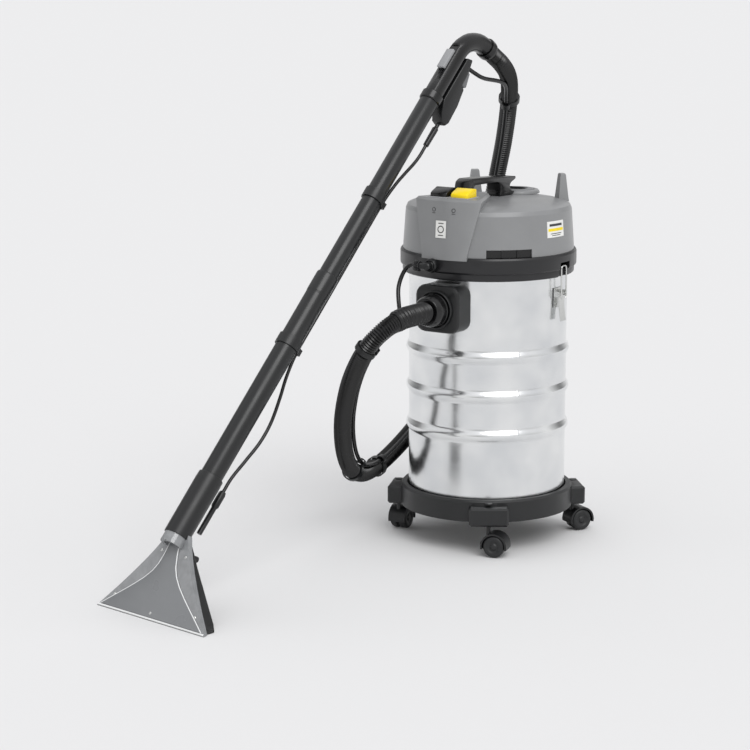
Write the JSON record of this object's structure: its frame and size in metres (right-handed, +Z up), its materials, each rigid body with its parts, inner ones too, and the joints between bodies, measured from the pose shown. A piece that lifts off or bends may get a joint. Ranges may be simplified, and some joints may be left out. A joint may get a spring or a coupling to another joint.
{
  "type": "carpet cleaner",
  "caption": "Spray-extraction carpet cleaner: steel drum on a caster chassis, lift-off grey motor head, and a ribbed suction hose to a bent grip, wand and clear-fronted floor nozzle.",
  "frame": {"origin": "on the floor, at the middle of the area under the machine and its wand, cords left out", "axes": "+Z up, -Y the machine's front where the hose inlet is and the wand stands, +X to the right seen from the front"},
  "size_m": [0.5502, 1.2048, 1.0902],
  "materials": {
    "black_plastic": "satin moulded plastic, fine grain",
    "grey_plastic": "satin moulded plastic",
    "yellow_plastic": "gloss moulded plastic",
    "steel": "bright rolled sheet steel",
    "bright_steel": "bright plated steel",
    "clear_plastic": "clear moulded plastic over a dark body",
    "tube_black": "smooth extruded tube",
    "hose_black": "ribbed flexible plastic",
    "rubber": "soft seal rubber",
    "foam": "open-cell foam",
    "label_white": "printed plate",
    "motor_metal": "cast motor body",
    "float_white": "hollow float"
  },
  "bodies": {
    "machine": {"chassis": "black_plastic", "drum": "steel", "inlet_flange": "black_plastic", "inlet_deflector": "black_plastic", "latch_bracket_left": "bright_steel", "latch_bracket_right": "bright_steel", "spray_plug": "black_plastic", "suction_hose": "hose_black", "spray_hose": "hose_black", "hose_clip_1": "black_plastic", "hose_clip_2": "black_plastic", "hose_clip_3": "black_plastic", "hose_clip_4": "black_plastic", "nozzle_window": "clear_plastic", "nozzle_back": "black_plastic", "nozzle_screw_left": "bright_steel", "nozzle_screw_right": "bright_steel", "wand_adapter": "black_plastic", "wand_tube_lower": "tube_black", "wand_tube_upper": "tube_black", "wand_clip_1": "black_plastic", "wand_clip_2": "black_plastic", "wand_line": "hose_black", "line_nut": "black_plastic", "line_coupler": "black_plastic", "grip": "black_plastic", "trigger_housing": "black_plastic"},
    "head": {"bumper_ring": "black_plastic", "head_shell": "grey_plastic", "vent_grille": "black_plastic", "carry_handle": "black_plastic", "rating_plate": "label_white", "symbol_plate": "label_white", "mains_gland": "black_plastic", "spray_socket": "black_plastic", "motor": "motor_metal", "pump": "black_plastic", "drum_gasket": "rubber"},
    "left_lever": {"latch_lever_left": "bright_steel"},
    "right_lever": {"latch_lever_right": "bright_steel"},
    "left_bail": {"latch_bail_left": "bright_steel"},
    "right_bail": {"latch_bail_right": "bright_steel"},
    "yellow_switch": {"rocker_yellow": "yellow_plastic"},
    "black_switch": {"rocker_black": "black_plastic"},
    "tank_cap": {"fill_cap": "grey_plastic"},
    "filter": {"filter_cage": "black_plastic", "foam_filter": "foam"},
    "float": {"float_ball": "float_white"},
    "inlet_swivel": {"inlet_cuff": "black_plastic"},
    "grip_swivel": {"hose_cuff_upper": "black_plastic"},
    "squeeze_trigger": {"trigger": "grey_plastic"},
    "air_valve": {"air_slider": "grey_plastic"},
    "caster_1": {"caster_hood_1": "black_plastic"},
    "wheels_1": {"caster_wheels_1": "black_plastic"},
    "caster_2": {"caster_hood_2": "black_plastic"},
    "wheels_2": {"caster_wheels_2": "black_plastic"},
    "caster_3": {"caster_hood_3": "black_plastic"},
    "wheels_3": {"caster_wheels_3": "black_plastic"},
    "caster_4": {"caster_hood_4": "black_plastic"},
    "wheels_4": {"caster_wheels_4": "black_plastic"}
  },
  "joints": [
    {"name": "caster_swivel_1", "type": "hinge", "parent": "machine", "child": "caster_1", "pos_m": [0.1884, 0.20985, 0.06], "axis": [0, 0, 1], "continuous": true},
    {"name": "caster_roll_1", "type": "hinge", "parent": "caster_1", "child": "wheels_1", "pos_m": [0.20286, 0.21385, 0.0235], "axis": [0.2672, -0.9636, 0], "continuous": true},
    {"name": "caster_swivel_2", "type": "hinge", "parent": "machine", "child": "caster_2", "pos_m": [0.23201, 0.50164, 0.06], "axis": [0, 0, 1], "continuous": true},
    {"name": "caster_roll_2", "type": "hinge", "parent": "caster_2", "child": "wheels_2", "pos_m": [0.23983, 0.51445, 0.0235], "axis": [0.8536, -0.521, 0], "continuous": true},
    {"name": "caster_swivel_3", "type": "hinge", "parent": "machine", "child": "caster_3", "pos_m": [-0.01721, 0.53889, 0.06], "axis": [0, 0, 1], "continuous": true},
    {"name": "caster_roll_3", "type": "hinge", "parent": "caster_3", "child": "wheels_3", "pos_m": [-0.01981, 0.55366, 0.0235], "axis": [0.9848, 0.1736, 0], "continuous": true},
    {"name": "caster_swivel_4", "type": "hinge", "parent": "machine", "child": "caster_4", "pos_m": [-0.09298, 0.29857, 0.06], "axis": [0, 0, 1], "continuous": true},
    {"name": "caster_roll_4", "type": "hinge", "parent": "caster_4", "child": "wheels_4", "pos_m": [-0.09465, 0.31347, 0.0235], "axis": [0.9938, 0.1115, 0], "continuous": true},
    {"name": "head_lift", "type": "slide", "parent": "machine", "child": "head", "axis": [0, 0, 1], "range_m": [0, 0.08]},
    {"name": "latch_right_lever", "type": "hinge", "parent": "machine", "child": "right_lever", "pos_m": [0.2651, 0.37437, 0.548], "axis": [0, -1, 0], "range_deg": [0, 120]},
    {"name": "latch_right_bail", "type": "hinge", "parent": "right_lever", "child": "right_bail", "pos_m": [0.2713, 0.37437, 0.538], "axis": [0, -1, 0], "range_deg": [-138.5, 0]},
    {"name": "latch_left_lever", "type": "hinge", "parent": "machine", "child": "left_lever", "pos_m": [-0.0939, 0.37437, 0.548], "axis": [0, 1, 0], "range_deg": [0, 120]},
    {"name": "latch_left_bail", "type": "hinge", "parent": "left_lever", "child": "left_bail", "pos_m": [-0.1001, 0.37437, 0.538], "axis": [0, 1, 0], "range_deg": [-138.5, 0]},
    {"name": "yellow_rocker_tip", "type": "hinge", "parent": "head", "child": "yellow_switch", "pos_m": [0.1106, 0.22737, 0.7558], "axis": [-1, 0, 0], "range_deg": [0, 10]},
    {"name": "black_rocker_tip", "type": "hinge", "parent": "head", "child": "black_switch", "pos_m": [0.0606, 0.22737, 0.7558], "axis": [-1, 0, 0], "range_deg": [0, 10]},
    {"name": "fill_cap_turn", "type": "hinge", "parent": "head", "child": "tank_cap", "pos_m": [0.0856, 0.49637, 0.7428], "axis": [0, 0, 1], "range_deg": [0, 90]},
    {"name": "filter_twist", "type": "hinge", "parent": "head", "child": "filter", "pos_m": [0.0856, 0.37437, 0.594], "axis": [0, 0, 1], "range_deg": [0, 30]},
    {"name": "float_rise", "type": "slide", "parent": "filter", "child": "float", "axis": [0, 0, 1], "range_m": [0, 0.055]},
    {"name": "inlet_cuff_turn", "type": "hinge", "parent": "machine", "child": "inlet_swivel", "pos_m": [0.0856, 0.16107, 0.527], "axis": [0, -1, 0], "continuous": true},
    {"name": "grip_cuff_turn", "type": "hinge", "parent": "machine", "child": "grip_swivel", "pos_m": [0.06108, 0.39426, 1.05775], "axis": [0.1559, 0.8142, -0.5592], "continuous": true},
    {"name": "trigger_squeeze", "type": "hinge", "parent": "machine", "child": "squeeze_trigger", "pos_m": [0.04961, 0.3343, 1.00801], "axis": [-0.9822, 0.1881, 0], "range_deg": [0, 12], "stiffness_Nm_per_rad": 0.3, "springref_deg": -5.73},
    {"name": "air_slider_travel", "type": "slide", "parent": "machine", "child": "air_valve", "axis": [0.1258, 0.6572, 0.7431], "range_m": [0, 0.012]}
  ],
  "couplings": [
    {"joint": "latch_right_bail", "follows": "latch_right_lever", "ratio": -1.15},
    {"joint": "latch_left_bail", "follows": "latch_left_lever", "ratio": -1.15}
  ]
}
